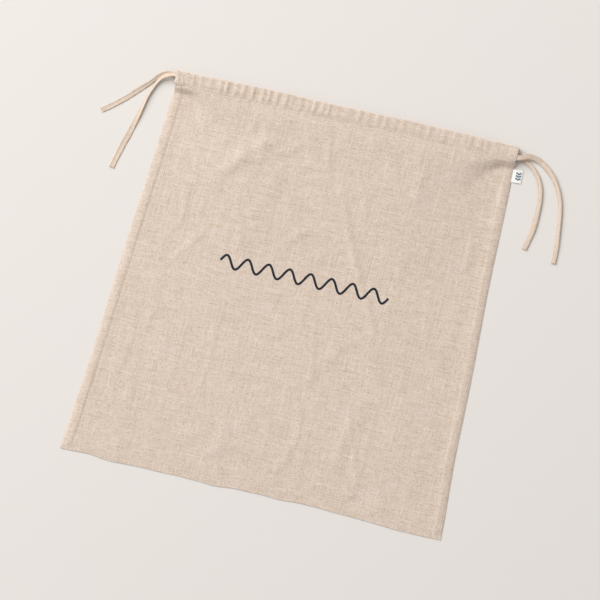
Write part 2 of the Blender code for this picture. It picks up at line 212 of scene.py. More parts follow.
class Surface:
    """A node material on one Principled shader. Its patterns are in metres along the cloth's threads."""

    def __init__(self, name, colour, roughness, sheen=0.0, specular=0.25):
        self.material = bpy.data.materials.new(name)
        self.material.use_nodes = True
        self.tree = self.material.node_tree
        self.shader = self.tree.nodes["Principled BSDF"]
        self.fill(self.shader, {"Roughness": roughness, "Specular IOR Level": specular})
        self.fill(self.shader, {"Sheen Weight": sheen, "Sheen Roughness": 0.5})
        self.place = self.node("ShaderNodeUVMap").outputs[0]
        start = self.node("ShaderNodeRGB")
        start.outputs[0].default_value = (*colour, 1)
        self.colour = start.outputs[0]
        self.height = None

    def fill(self, node, values):
        for socket, value in values.items():
            node.inputs[socket].default_value = value

    def node(self, kind, values=None, **settings):
        """A new node with these values on its sockets."""
        node = self.tree.nodes.new(kind)
        for key, value in settings.items():
            setattr(node, key, value)
        self.fill(node, values or {})
        return node

    def link(self, value, socket):
        if isinstance(value, (int, float)):
            socket.default_value = value
        else:
            self.tree.links.new(value, socket)

    def maths(self, operation, first, second=0.0):
        node = self.node("ShaderNodeMath", operation=operation)
        self.link(first, node.inputs[0])
        self.link(second, node.inputs[1])
        return node.outputs[0]

    def scaled(self, size, turn=0.0):
        """Coordinates with one unit to each of these sizes in metres."""
        values = {"Scale": (*size, 1), "Rotation": (0, 0, turn)}
        mapping = self.node("ShaderNodeMapping", values, vector_type="TEXTURE")
        self.link(self.place, mapping.inputs["Vector"])
        return mapping.outputs[0]

    def noise(self, size, detail=2.0, offset=0.0):
        """Noise between 0 and 1 with lumps of this size along and across."""
        values = {"Scale": 1.0, "Detail": detail, "W": offset}
        texture = self.node("ShaderNodeTexNoise", values, noise_dimensions="4D")
        self.link(self.scaled(size), texture.inputs["Vector"])
        return texture.outputs["Fac"]

    def band(self, value, low, high, strength=1.0):
        """0 below low, rising to strength at high."""
        values = {"From Min": low, "From Max": high, "To Max": strength}
        node = self.node("ShaderNodeMapRange", values, interpolation_type="SMOOTHSTEP")
        self.link(value, node.inputs["Value"])
        return node.outputs["Result"]

    def tint(self, factor, colour):
        """Lays a colour over what is there, where the factor says."""
        mix = self.node("ShaderNodeMix", data_type="RGBA", blend_type="MIX")
        self.link(factor, mix.inputs["Factor"])
        self.link(self.colour, mix.inputs[6])
        mix.inputs[7].default_value = (*colour, 1)
        self.colour = mix.outputs[2]

    def raise_by(self, value, height):
        """Adds a pattern of this height in metres to the surface's relief."""
        scaled = self.maths("MULTIPLY", value, height)
        self.height = scaled if self.height is None else self.maths("ADD", self.height, scaled)

    def finish(self):
        self.link(self.colour, self.shader.inputs["Base Color"])
        if self.height is not None:
            bump = self.node("ShaderNodeBump", {"Strength": 1.0, "Distance": 1.0})
            self.link(self.height, bump.inputs["Height"])
            self.link(bump.outputs["Normal"], self.shader.inputs["Normal"])
        return self.material


def stripes(surface, direction, vector, **values):
    """Evenly spaced bands across a direction."""
    sockets = {name.replace("_", " "): value for name, value in values.items()}
    wave = surface.node("ShaderNodeTexWave", sockets, wave_type="BANDS", bands_direction=direction)
    surface.link(vector, wave.inputs["Vector"])
    return wave.outputs["Fac"]


def weave(surface, pitch, contrast, relief):
    """Plain weave: threads one over another both ways, seen as a fine checked grain."""
    scale = 1 / (pitch * 20) * math.tau
    warp_threads, weft_threads = (
        stripes(surface, "X", surface.scaled((1, 1), turn), Scale=scale, Distortion=0.6, Detail_Scale=2.0)
        for turn in (0.0, math.pi / 2)
    )
    grain = surface.maths("MULTIPLY", warp_threads, weft_threads)
    dark = surface.maths("SUBTRACT", 1.0, surface.band(grain, 0.0, 0.55))
    surface.tint(surface.maths("MULTIPLY", dark, contrast), (0.50, 0.39, 0.30))
    surface.raise_by(grain, relief)


def linen_material(name="linen_cloth"):
    """Cotton and linen plain weave: uneven threads both ways, and small dark and brown flecks."""
    surface = Surface(name, LINEN, roughness=0.92, sheen=0.12, specular=0.15)
    tone = surface.noise((90 * MM, 120 * MM))
    surface.tint(surface.band(tone, 0.35, 0.7, 0.3), (0.69, 0.58, 0.49))
    patch = surface.noise((28 * MM, 18 * MM), detail=1.0, offset=43.0)
    surface.tint(surface.band(patch, 0.4, 0.68, 0.3), (0.64, 0.535, 0.45))
    grain = surface.noise((1.3 * MM, 1.0 * MM), detail=3.0, offset=41.0)
    surface.tint(surface.band(grain, 0.52, 0.72, 0.36), (0.52, 0.42, 0.345))
    between = surface.maths("SUBTRACT", 1.0, grain)
    surface.tint(surface.band(between, 0.52, 0.72, 0.36), (0.88, 0.79, 0.71))
    streaks = [
        ((60 * MM, 1.2 * MM), 9.0, 0.56, 0.68, 0.50, PALE_THREAD),
        ((48 * MM, 1.1 * MM), 15.0, 0.57, 0.68, 0.50, DARK_THREAD),
        ((24 * MM, 1.0 * MM), 3.0, 0.57, 0.69, 0.66, DARK_THREAD),
        ((8 * MM, 1.0 * MM), 5.0, 0.55, 0.70, 0.56, DARK_THREAD),
        ((15 * MM, 1.0 * MM), 7.0, 0.54, 0.68, 0.55, PALE_THREAD),
        ((1.0 * MM, 15 * MM), 11.0, 0.54, 0.70, 0.42, DARK_THREAD),
        ((1.0 * MM, 7 * MM), 13.0, 0.54, 0.70, 0.38, DARK_THREAD),
        ((1.1 * MM, 32 * MM), 17.0, 0.54, 0.69, 0.42, PALE_THREAD),
        ((1.3 * MM, 160 * MM), 19.0, 0.58, 0.70, 0.45, PALE_THREAD),
        ((1.1 * MM, 130 * MM), 21.0, 0.60, 0.70, 0.42, DARK_THREAD),
    ]
    for size, offset, low, high, strength, colour in streaks:
        thread = surface.noise(size, detail=1.0, offset=offset)
        surface.tint(surface.band(thread, low, high, strength), colour)
        surface.raise_by(surface.band(thread, 0.5, 0.72), 0.05 * MM)
    flecks = [
        ((2.6 * MM, 1.4 * MM), 23.0, 0.67, 0.75, 0.75, (0.55, 0.33, 0.14)),
        ((4.5 * MM, 1.1 * MM), 27.0, 0.68, 0.76, 0.65, (0.46, 0.29, 0.16)),
        ((1.4 * MM, 3.0 * MM), 29.0, 0.69, 0.76, 0.65, (0.58, 0.36, 0.16)),
        ((1.2 * MM, 1.2 * MM), 31.0, 0.735, 0.78, 0.8, (0.20, 0.15, 0.11)),
    ]
    for size, offset, low, high, strength, colour in flecks:
        fleck = surface.noise(size, detail=0.0, offset=offset)
        surface.tint(surface.band(fleck, low, high, strength), colour)
    weave(surface, 0.62 * MM, 0.30, 0.10 * MM)
    return surface.finish()


def tape_material(end, edge_strength):
    """Folded tape of the same cloth: tan along its pressed edges, paler in its middle."""
    surface = Surface(f"{end}_drawstring_tape", TAPE, roughness=0.9, sheen=0.12, specular=0.15)
    streak = surface.noise((0.9 * MM, 12 * MM), detail=2.0, offset=5.0)
    surface.tint(surface.band(streak, 0.5, 0.7, 0.4), (0.64, 0.52, 0.41))
    stain = surface.noise((1.5 * MM, 7 * MM), detail=2.0, offset=15.0)
    surface.tint(surface.band(stain, 0.52, 0.66, 0.45), (0.58, 0.44, 0.30))
    bright = surface.noise((1.2 * MM, 5 * MM), detail=1.0, offset=21.0)
    surface.tint(surface.band(bright, 0.55, 0.7, 0.5), (0.88, 0.80, 0.71))
    speck = surface.noise((1.1 * MM, 2.0 * MM), detail=1.0, offset=9.0)
    surface.tint(surface.band(speck, 0.68, 0.76, 0.6), (0.45, 0.31, 0.20))
    across = surface.node("ShaderNodeSeparateXYZ")
    surface.link(surface.place, across.inputs[0])
    from_middle = surface.maths("ABSOLUTE", across.outputs[0])
    worn = surface.noise((1.4 * MM, 8 * MM), detail=2.0, offset=33.0)
    kept = surface.maths("ADD", surface.band(worn, 0.4, 0.6, 0.75), 0.25)
    edge = surface.band(from_middle, 1.7 * MM, 2.7 * MM, edge_strength)
    surface.tint(surface.maths("MULTIPLY", edge, kept), TAPE_EDGE)
    weave(surface, 0.5 * MM, 0.25, 0.08 * MM)
    return surface.finish()


def thread_material(name, colour):
    """Twisted sewing thread, with painted shade in stripes along its twist."""
    surface = Surface(name, colour, roughness=0.75, sheen=0.2, specular=0.3)
    twist = stripes(surface, "DIAGONAL", surface.place, Scale=700)
    # painted shade: a darker copy of the thread's own colour, laid in stripes along the twist as if shade
    # fell in its grooves
    twist_groove_shade = tuple(0.72 * value for value in colour)
    surface.tint(surface.maths("MULTIPLY", twist, 0.35), twist_groove_shade)
    surface.raise_by(twist, 0.04 * MM)
    return surface.finish()


def label_material():
    """Smooth white ribbon, with fine ribs across it."""
    surface = Surface("label_satin", LABEL, roughness=0.55, sheen=0.05, specular=0.4)
    ribs = stripes(surface, "Y", surface.place, Scale=900)
    surface.tint(surface.maths("MULTIPLY", ribs, 0.12), (0.70, 0.70, 0.70))
    surface.raise_by(ribs, 0.02 * MM)
    return surface.finish()


def ink_material(name, colour, pale):
    """Printed ink, a little thin where the threads cross."""
    surface = Surface(name, colour, roughness=0.7, sheen=0.05, specular=0.25)
    thin = surface.noise((0.7 * MM, 0.7 * MM), detail=2.0, offset=2.0)
    surface.tint(surface.band(thin, 0.55, 0.75, 0.5), pale)
    weave(surface, 0.62 * MM, 0.0, 0.06 * MM)
    return surface.finish()


def floor_material():
    """Warm white paper with the faintest mottling."""
    surface = Surface("floor_paper", FLOOR, roughness=0.95, specular=0.1)
    surface.tint(surface.band(surface.noise((160 * MM, 160 * MM)), 0.3, 0.7, 0.25), (0.735, 0.70, 0.675))
    surface.raise_by(surface.noise((1.5 * MM, 1.5 * MM)), 0.02 * MM)
    return surface.finish()


# ---------------------------------------------------------------- meshes

def smooth(value):
    """0 to 1 with level ends."""
    value = np.clip(value, 0, 1)
    return value * value * (3 - 2 * value)


def hump(value, middle, width):
    """1 at the middle, falling away smoothly on both sides over this width."""
    return np.exp(-(((value - middle) / width) ** 2))


def unit(vectors):
    """Each row's direction, 1 long."""
    return vectors / np.linalg.norm(vectors, axis=1, keepdims=True)


def distances(path):
    """How far along a path of points each one is."""
    return np.concatenate([[0], np.cumsum(np.linalg.norm(np.diff(path, axis=0), axis=1))])


def lie(points):
    """Points where the bag lies a little out of square."""
    x, y, z = np.asarray(points, float).T
    return np.stack([x + LEAN * (y - LEAN_START), y + x * (BOTTOM_SLOPE + LENGTHENING * y), z], axis=1)


def new_mesh(name, vertices, faces, coordinates, material, sharp=50):
    """A mesh piece from points, faces and each point's place on the cloth, lying as the bag does."""
    assert len(vertices), name
    mesh = bpy.data.meshes.new(name)
    mesh.from_pydata(lie(vertices).tolist(), [], [tuple(face) for face in faces])
    layer = mesh.uv_layers.new(name="cloth")
    corners = np.zeros(len(mesh.loops), int)
    mesh.loops.foreach_get("vertex_index", corners)
    layer.data.foreach_set("uv", np.asarray(coordinates, float)[corners].ravel())
    mesh.shade_smooth()
    mesh.set_sharp_from_angle(angle=math.radians(sharp))
    mesh.materials.append(material)
    piece = bpy.data.objects.new(name, mesh)
    bpy.context.scene.collection.objects.link(piece)
    return piece


def quads(index):
    """The faces of a grid of points, from the grid of their numbers."""
    return np.stack([index[:-1, :-1], index[:-1, 1:], index[1:, 1:], index[1:, :-1]], axis=2).reshape(-1, 4)


def cloth_solid(middle, coordinates, thickness=CLOTH):
    """Points, faces and places of a closed sheet, from a grid of the points of its middle surface."""
    rows, columns = middle.shape[:2]
    normal = np.cross(np.gradient(middle, axis=1), np.gradient(middle, axis=0))
    normal /= np.maximum(np.linalg.norm(normal, axis=2, keepdims=True), 1e-12)
    vertices = np.concatenate([
        (middle + normal * thickness / 2).reshape(-1, 3),
        (middle - normal * thickness / 2).reshape(-1, 3),
    ])
    index = np.arange(rows * columns).reshape(rows, columns)
    upper = quads(index)
    lower = upper[:, ::-1] + rows * columns
    edge = np.concatenate([index[0, :-1], index[:-1, -1], index[-1, :0:-1], index[:0:-1, 0]])
    after = np.roll(edge, -1)
    rim = np.stack([after, edge, edge + rows * columns, after + rows * columns], axis=1)
    places = np.tile(np.asarray(coordinates).reshape(-1, 2), (2, 1))
    return vertices, np.concatenate([upper, lower, rim]), places


def joined(parts):
    """Several meshes' points, faces and places as one."""
    vertices, faces, places, count = [], [], [], 0
    for part_vertices, part_faces, part_places in parts:
        vertices.extend(np.asarray(part_vertices))
        places.extend(np.asarray(part_places))
        faces.extend([index + count for index in face] for face in part_faces)
        count += len(part_vertices)
    return np.array(vertices), faces, np.array(places)


def tube_faces(count, sides, turned=False):
    """Faces of a closed tube of rings of points, the other way round if turned."""
    faces = []
    for ring in range(count - 1):
        for k in range(sides):
            a, b = ring * sides + k, ring * sides + (k + 1) % sides
            faces.append((a, a + sides, b + sides, b) if turned else (a, b, b + sides, a + sides))
    ends = [range(sides - 1, -1, -1), range((count - 1) * sides, count * sides)]
    return faces + [tuple(end[::-1] if turned else end) for end in ends]


def tube(path, radius, sides=6, squeeze=1.0):
    """Points, faces and places of a fine round thread along a path of points."""
    path = np.asarray(path, float)
    along = unit(np.gradient(path, axis=0))
    upright = np.array([0, 0, 1.0])
    if abs(along[0] @ upright) > 0.9:
        upright = np.array([0, 1.0, 0])
    side = unit(np.cross(along, upright))
    normal = np.cross(side, along)
    size = np.ones(len(path))
    size[0] = size[-1] = THREAD_TIP
    angles = np.arange(sides) * math.tau / sides
    rings = (
        path[:, None]
        + side[:, None] * (np.cos(angles) * radius)[None, :, None] * size[:, None, None]
        + normal[:, None] * (np.sin(angles) * radius * squeeze)[None, :, None] * size[:, None, None]
    )
    count = len(path)
    lengths = distances(path)
    places = np.stack([np.tile(angles * radius, count), np.repeat(lengths, sides)], axis=1)
    return rings.reshape(-1, 3), tube_faces(count, sides), places


def waves(x, y, length, seed, count=16, stretch=1.0):
    """A smooth random surface about 1 high, of waves about this long. Stretch lengthens them along Y."""
    random = np.random.default_rng(seed)
    total = np.zeros(np.shape(x))
    for _ in range(count):
        angle = random.uniform(0, math.tau)
        number = math.tau / (length * random.uniform(0.7, 1.5))
        phase = random.uniform(0, math.tau)
        along = x * math.cos(angle) + y * math.sin(angle) / stretch
        total += np.cos(number * along + phase)
    return total / math.sqrt(count / 2)


def settle(piece, replaced=(), body=None):
    """Says what a piece rides on, or else bakes its placement into its points, and what it stands for."""
    if body:
        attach(piece, body)
    else:
        gather_blend(piece)
    if replaced:
        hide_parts(*replaced)


# ---------------------------------------------------------------- drawstrings

def smooth_route(points, step):
    """Points a step apart on a smooth curve through the route's own points."""
    ends = np.concatenate([[points[0] * 2 - points[1]], points, [points[-1] * 2 - points[-2]]])
    fine = []
    for p0, p1, p2, p3 in zip(ends, ends[1:], ends[2:], ends[3:]):
        for t in np.arange(20) / 20:
            fine.append(
                p1 + (p2 - p0) * (t / 2) + (p0 * 2 - p1 * 5 + p2 * 4 - p3) * (t * t / 2)
                + (p1 * 3 - p0 - p2 * 3 + p3) * (t ** 3 / 2)
            )
    fine = np.array(fine + [points[-1]])
    lengths = distances(fine)
    wanted = np.linspace(0, lengths[-1], max(2, round(lengths[-1] / step)) + 1)
    return np.stack([np.interp(wanted, lengths, fine[:, axis]) for axis in range(3)], axis=1)


def tape_section():
    """Two outlines of the tape, as shares of its half width and thickness: with raised edges, and round."""
    half = np.array([0.25, 0.5, 0.72, 0.86, 0.94, 0.985, 1])
    across = np.concatenate([-half[::-1], [0], half])
    edge = np.array([0.56, 0.72, 0.97, 1, 0.82, 0.5, 0])
    flat = np.concatenate([edge[::-1], [0.5], edge])
    full = 1.25 * np.sqrt(np.maximum(1 - across ** 2, 0))
    closed = [np.concatenate([thick, -thick[-2:0:-1]]) for thick in (flat, full)]
    return np.concatenate([across, across[-2:0:-1]]), *closed


def tape_mesh(path, side, widths, rolls, fullness):
    """Points, faces and places of a tape along a path. Side is its width's direction before it rolls."""
    normal = unit(np.cross(side, unit(np.gradient(path, axis=0))))
    cos, sin = np.cos(rolls)[:, None], np.sin(rolls)[:, None]
    across = side * cos + normal * sin
    out = normal * cos - side * sin
    shares, flat, full = tape_section()
    thick = (flat[None] + (full - flat)[None] * fullness[:, None]) * (1 + ROLLED * fullness[:, None])
    half = (widths * TAPE_WIDTH / 2)[:, None, None]
    rings = (
        path[:, None]
        + across[:, None] * shares[None, :, None] * half
        + out[:, None] * thick[:, :, None] * TAPE_THICKNESS / 2
    )
    lengths = distances(path)
    sides, count = len(shares), len(path)
    places = np.stack(np.broadcast_arrays(shares[None] * TAPE_WIDTH / 2, lengths[:, None]), axis=2)
    return rings.reshape(-1, 3), tube_faces(count, sides, turned=True), places.reshape(-1, 2)


def frayed_end(path, side, seed):
    """Short loose fibres at a cut end."""
    random = np.random.default_rng(seed)
    forward = path[-1] - path[-4]
    forward /= np.linalg.norm(forward)
    fibres = []
    for _ in range(FRAYED_FIBRES):
        start = path[-1] - forward * 0.6 * MM + side[-1] * random.uniform(-0.48, 0.48) * TAPE_WIDTH
        start[2] = path[-1][2] + random.uniform(-0.3, 0.3) * MM
        lean = side[-1] * random.uniform(-0.5, 0.5) + forward + np.array([0, 0, random.uniform(-0.15, 0.2)])
        reach = random.uniform(0.9, 2.3) * MM
        bend = side[-1] * random.uniform(-0.5, 0.5) * MM
        points = [start + lean * reach * t + bend * t * t for t in np.linspace(0, 1, 5)]
        points = [np.array([p[0], p[1], max(p[2], 0.12 * MM)]) for p in points]
        fibres.append(tube(points, 0.07 * MM, sides=4))
    return fibres


def loose_end(name, material):
    """A drawstring's loose end, from inside the hem to its frayed cut."""
    route = np.array(TAIL_ROUTES[name]) * MM
    path = smooth_route(route, TAIL_STEP)
    shape = np.array(TAIL_SHAPES[name])
    share = np.linspace(0, 1, len(path))
    spread = np.exp(-((share[:, None] - share[None]) / 0.05) ** 2)
    spread /= spread.sum(axis=1, keepdims=True)
    widths, rolls, fullness = (spread @ np.interp(share, shape[:, 0], shape[:, k]) for k in (1, 2, 3))
    rolls = np.radians(rolls)
    thickness = TAPE_THICKNESS * (1 + 0.25 * fullness) * (1 + ROLLED * fullness)
    lowest = np.abs(np.sin(rolls)) * widths * TAPE_WIDTH / 2 + np.cos(rolls) * thickness / 2
    path[:, 2] = np.maximum(path[:, 2] - TAIL_DROP, lowest + 0.05 * MM)
    side = unit(np.cross(np.gradient(path, axis=0), [0, 0, 1.0]))
    end, layer = name.split("_")[:2]
    fibres = frayed_end(path, side, seed=len(name) * 7 + len(end))
    parts = [tape_mesh(path, side, widths, rolls, fullness)] + fibres
    piece = new_mesh(f"{name}_tape", *joined(parts), material)
    settle(piece, [name], body=f"{end}_drawstring")


def near_hem(x):
    """0 along the casings, rising to 1 at the hems."""
    return smooth((np.abs(x) - 195 * MM) / (15 * MM))


def string_runs(end, material):
    """The drawstring's two runs inside the casings, joined by its turn round the far end."""
    sign = SIDES[end]
    tuck = float(left_tuck(-sign * CASING_END, STRING_Y[end]))
    turn = CASING_END + 0.9 * MM - TURN_RADIUS - tuck
    corners = [(STRING_FRONT_Z - TURN_RADIUS, 90), (STRING_BACK_Z + TURN_RADIUS, 0)]
    points = [(x, STRING_FRONT_Z) for x in np.linspace(-TAIL_START, turn, 90)[:-1]]
    for level, begin in corners:
        for angle in np.radians(np.linspace(begin, begin - 90, 7)):
            points.append((turn + TURN_RADIUS * math.cos(angle), level + TURN_RADIUS * math.sin(angle)))
    points += [(x, STRING_BACK_Z) for x in np.linspace(turn, -TAIL_START, 90)[1:]]
    path = np.array([(-sign * x, STRING_Y[end], z) for x, z in points])
    front = path[:, 2] > STRING_FRONT_Z - 0.01 * MM
    path[front, 2] -= RUN_DROP * (1 - near_hem(path[front, 0]))
    side = np.tile([0.0, -sign, 0.0], (len(path), 1))
    flat = np.zeros(len(path))
    mesh = tape_mesh(path, side, np.full(len(path), RUN_WIDTH), flat, flat)
    piece = new_mesh(f"{end}_drawstring_tape", *mesh, material)
    settle(piece, [f"{end}_drawstring"], body=f"{end}_drawstring")


# ---------------------------------------------------------------- the body cloth's shape

EDGE_STEPS = np.array([0, 0.35, 0.8, 1.5, 2.5, 4, 5.5, 7, 8.5, 10, 11, 12, 13, 14, 15.5, 17.5, 20]) * MM
INNER_COLUMNS = 84
FOLD_Z = 0.68 * MM
BACK_Z = 0.2 * MM
STITCH_Z = 8.5 * MM
STITCH_DIP = 0.15 * MM
STITCH_DIP_WIDTH = 1.1 * MM
CASING_RIPPLE = 2.1 * MM
HEM_FLARE = 1.7 * MM
PUCKER_HEIGHT = 0.13 * MM
LIFT_HEIGHT = 6.4 * MM
LIFT_REACH = 165 * MM
RAMP_AT_SIDE = 11 * MM
RAMP_GAIN = 52 * MM
CASING_LOW = {"front": 7.42 * MM, "back": 0.2 * MM}
CASING_HIGH = {"front": 9.2 * MM, "back": 2.35 * MM}
CASING_PLY_END = 216.5 * MM
DRAPE_COLUMNS = 127
DRAPE_ROWS = 123
DRAPE_FRAMES = 30
DRAPE_FULLNESS = 0.0021
DRAPE_GROUND = -0.9 * MM
DRAPE_SETTINGS = {
    "quality": 6, "mass": 0.02, "tension_stiffness": 25, "compression_stiffness": 25,
    "shear_stiffness": 10, "bending_stiffness": 0.02, "shrink_min": -DRAPE_FULLNESS,
    "vertex_group_mass": "held",
}
SEAM_REACH = 14 * MM
SEAM_DISTANCES = np.array([0, 0.5, 1.2, 2.4, 4, 8.5, 10.5, 13, 16.5]) * MM
SEAM_HEIGHTS = np.array([0.52, 0.74, 1.0, 1.36, 1.72, 2.1, 1.9, 1.15, 1.3]) * MM


def half_width(y):
    """Half the body's width at a height along the bag."""
    share = (y - BOTTOM) / (TOP - BOTTOM)
    return HALF_BOTTOM * (1 - share) + HALF_TOP * share


def from_side(x, y):
    """How far in from the body's side a place is."""
    return half_width(y) - np.abs(x)


def left_tuck(x, y):
    """How far the left edge lies in from a straight side: most below the casing, least at the bottom."""
    below_top = smooth((TOP - y) / (22 * MM))
    return 3.5 * MM * smooth((-x - 0.15) / 0.06) * below_top * (1 - 0.75 * smooth((-y - 0.08) / 0.17))


def warp(x, y):
    """How far the cut edges stray from straight: along X and along Y."""
    upper, lower = smooth((y + 0.05) / 0.28), smooth((-y - 0.02) / 0.2)
    side_bow = 3.2 * MM * smooth((-y - 0.13) / 0.12) - 2.8 * MM * hump(y, 0.07, 0.1)
    along_x = 0.9 * MM * np.sin(y / 0.085 + np.sign(x)) + side_bow * (x > 0)
    along_x = along_x * smooth((np.abs(x) - 0.17) / 0.05) + left_tuck(x, y)
    in_casing = smooth((y - CASING_FOOT) / (TOP - CASING_FOOT)) * smooth((0.2 - np.abs(x)) / 0.04)
    along_y = 1.6 * MM * hump(x, 0.09, 0.11) * upper
    along_y = along_y + (0.8 + 1.0 * hump(x, -0.11, 0.07)) * MM * in_casing
    along_y = along_y - 3.2 * MM * hump(x, -0.08, 0.12) * lower
    along_y = along_y - 4.8 * MM * smooth((x - 0.06) / 0.17) * lower
    along_y = along_y - 2.8 * MM * hump(x, -0.19, 0.045) * lower
    notch = -1.5 * hump(x, -0.050, 0.014) + 0.9 * hump(x, -0.022, 0.016)
    along_y = along_y + notch * MM * smooth((-y - 0.2) / 0.04)
    along_y = along_y + 0.35 * MM * waves(x, x * 0, 0.05, 41) * lower
    corner = np.exp(-(((x + HALF_BOTTOM) / 0.03) ** 2 + ((y - BOTTOM) / 0.03) ** 2))
    return along_x - 1.8 * MM * corner, along_y - 1.5 * MM * corner


def strayed(grid):
    """A grid or line of points, moved as far as the cut edges stray from straight."""
    shift = np.stack(warp(grid[..., 0], grid[..., 1]), axis=-1)
    return np.concatenate([grid[..., :2] + shift, grid[..., 2:]], axis=-1)


# Creases, in millimetres: from a point to a point, then width and height
CREASES = [
    (-146, 134, -70, 199, 10, 1.25), (-133, 124, -62, 185, 10, -0.6), (-111, 153, -26, 212, 7, 0.7),
    (-18, 235, -3, 172, 4, 0.8), (-9, 235, 6, 167, 7, -0.6), (15, 153, 106, -27, 5, 0.85),
    (25, 144, 99, 50, 8, -0.65), (95, 119, 130, 158, 9, -1.7), (-37, 58, -9, 102, 7, 0.65),
    (-175, 7, -135, 70, 4, 0.45), (-189, 23, -155, 76, 5, -0.35), (-95, -48, -95, -139, 3.5, 0.45),
    (-87, -49, -87, -140, 7, -0.45), (30, -102, 85, -28, 9, 0.5), (45, -111, 97, -43, 10, -0.4),
    (-45, -169, -65, -223, 9, 0.65), (-35, -204, -18, -250, 8, -2), (31, -178, 31, -220, 7, 0.5),
    (128, -228, 143, -262, 9, -1.1), (182, 93, 206, 41, 8, -1), (33, 247, 54, 199, 8, 0.6),
    (102, 196, 130, 143, 10, 0.6), (-214, -90, -208, -155, 9, 0.5), (-165, -151, -157, -209, 9, -0.5),
    (95, -136, 102, -200, 9, 0.5), (157, -95, 163, -159, 10, 0.5), (205, -176, 207, -228, 9, -0.6),
    (-110, 121, -81, 19, 3, 0.34), (-90, 105, -70, 59, 3, 0.3), (36, 179, 59, 110, 3, 0.36),
    (52, 241, 71, 189, 3, 0.4), (24, -10, 40, -101, 3, 0.32), (98, -119, 126, -205, 3.5, 0.34),
    (194, 135, 200, 68, 3.5, 0.4), (-202, -54, -202, -135, 3.5, 0.36), (-62, 130, -44, 75, 3, 0.3),
    (31, -118, 44, -188, 3.5, 0.3), (-177, 119, -173, 53, 4, 0.4), (160, 38, 172, -28, 3.5, 0.32),
]


def gather_list():
    """Each gather's place along the casing, strength, reach down the cloth and slant."""
    random = np.random.default_rng(12)
    place, found = -CASING_END + 14 * MM, []
    while place < CASING_END - 12 * MM:
        leftness = 1 - smooth((place + 0.23) / 0.34)
        strength = random.uniform(0.15, 0.6) + random.uniform(0.1, 0.7) * leftness
        reach = random.uniform(10, 26) * MM + random.uniform(0, 40) * MM * leftness
        found.append((place, strength, reach, random.normal(0, 0.10)))
        place += random.uniform(7.0, 14.0) * MM
    return found


GATHERS = gather_list()


def gathered(x, y):
    """Ridges and dips that run down from the casing's stitching, about 1 high at the strongest."""
    below = np.maximum(CASING_FOOT - y, 0)
    total = np.zeros(np.shape(x))
    for place, strength, reach, slant in GATHERS:
        width = 2.1 * MM + below * 0.05
        offset = (x - place - slant * (y - CASING_FOOT)) / width
        total += strength * np.exp(-offset * offset) * np.exp(-below / reach)
    return total


def puckered(x, y):
    """Fine uneven puckers on both sides of the casing's stitching, strongest at the left."""
    near = hump(y, CASING_FOOT, 11 * MM)
    leftness = 0.45 + 0.55 * (1 - smooth((x + 0.2) / 0.36))
    return waves(x, y, 6.5 * MM, 31, count=24, stretch=2.6) * near * leftness


def creased(x, y):
    """The broad soft creases of the front layer."""
    total = np.zeros(np.shape(x))
    for x0, y0, x1, y1, width, height in CREASES:
        start, along = np.array((x0, y0)) * MM, np.array((x1 - x0, y1 - y0)) * MM
        length = np.linalg.norm(along)
        along /= length
        forward = ((x - start[0]) * along[0] + (y - start[1]) * along[1]) / length
        sideways = ((x - start[0]) * along[1] - (y - start[1]) * along[0]) / (width * MM)
        sideways = sideways + 0.5 * np.sin(forward * 5 + x0)
        fade = smooth(forward / 0.3 + 0.3) * smooth((1 - forward) / 0.3 + 0.3)
        total += height * MM * np.exp(-sideways * sideways) * fade
    return total


def seam_level(x, y):
    """Height of the front layer along the sides, over the seam's allowance."""
    edge = from_side(x, y)
    pucker = 0.12 * MM * np.sin(y / (1.3 * MM) + 2 * waves(x * 0, y, 0.03, 5))
    deep = 1 - 0.55 * (x > 0)
    seam = np.interp(edge, SEAM_DISTANCES, SEAM_HEIGHTS)
    seam = seam + (1 - deep) * 0.45 * MM * hump(edge, 13.5 * MM, 2.2 * MM)
    seam = seam + pucker * deep * hump(edge, 12 * MM, 3.5 * MM)
    return FOLD_Z + (seam - FOLD_Z) * smooth((y - BOTTOM) / (12 * MM))


def lift(x, y):
    """How far the casing holds the front layer up, over the level it would lie at."""
    edge, below = from_side(x, y), CASING_FOOT - y
    return LIFT_HEIGHT * hump(below, 0, LIFT_REACH) * smooth((edge - 8 * MM) / (130 * MM))


def starting_height(x, y):
    """The front layer's shape before it settles, without the lift: slack, with gathers and creases in it."""
    edge, below = from_side(x, y), CASING_FOOT - y
    body = 2.6 * MM + 0.9 * MM * waves(x, y, 0.13, 3) + 0.4 * MM * waves(x, y, 0.05, 8, stretch=1.8)
    body = np.maximum(body, 1.6 * MM) + creased(x, y)
    body = FOLD_Z + (body - FOLD_Z) * smooth((y - BOTTOM) / (25 * MM))
    body = body + (2.0 * MM - body) * smooth(1 - below / (25 * MM))
    body = body + 1.1 * MM * gathered(x, y) * smooth(below / (6 * MM))
    seam = seam_level(x, y)
    return seam + (body - seam) * smooth((edge - SEAM_REACH) / (30 * MM))


